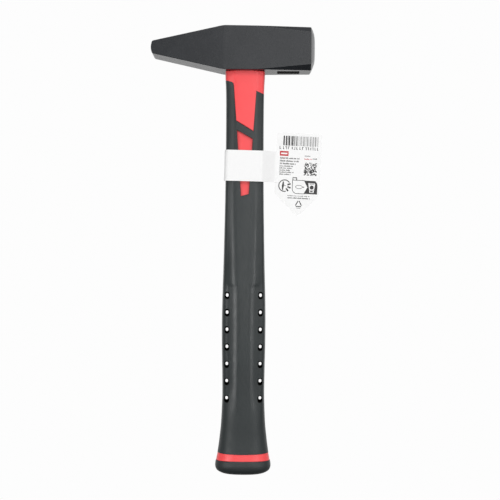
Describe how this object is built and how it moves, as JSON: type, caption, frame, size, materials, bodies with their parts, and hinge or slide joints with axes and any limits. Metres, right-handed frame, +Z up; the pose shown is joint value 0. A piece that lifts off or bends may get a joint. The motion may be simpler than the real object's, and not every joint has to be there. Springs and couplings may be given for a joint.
{
  "type": "cross peen hammer",
  "caption": "Engineer's cross-peen hammer: black forged head on a fibreglass-cored red and black handle with vented rubber grip, and a loose paper hang tag.",
  "frame": {"origin": "on the handle's axis in the middle of the rubber grip, 99 mm above the bottom of the butt, where a hand holds the hammer", "axes": "+Z up the handle from butt to head, +X from the peen to the striking face, +Y across the head from cheek to cheek"},
  "size_m": [0.1337, 0.0336, 0.3504],
  "materials": {
    "black_lacquer": "semi-gloss black lacquer on forged steel",
    "ground_steel": "ground and clear-lacquered striking face",
    "cast_resin": "poured resin, slightly glossy",
    "foam_rubber": "closed-cell foam",
    "glass_fibre": "pultruded rod, sawn end",
    "red_plastic": "satin moulded polypropylene",
    "black_rubber": "satin moulded thermoplastic rubber",
    "white_paper": "matt coated paper",
    "printed_paper": null
  },
  "bodies": {
    "root": {"hammer_head": "black_lacquer", "eye_resin": "cast_resin", "resin_dam": "foam_rubber", "fibreglass_core": "glass_fibre", "handle_jacket": "red_plastic", "grip_overmould": "black_rubber", "butt_cap": "black_rubber", "label_band": "white_paper", "label_tag": "printed_paper"}
  },
  "joints": []
}
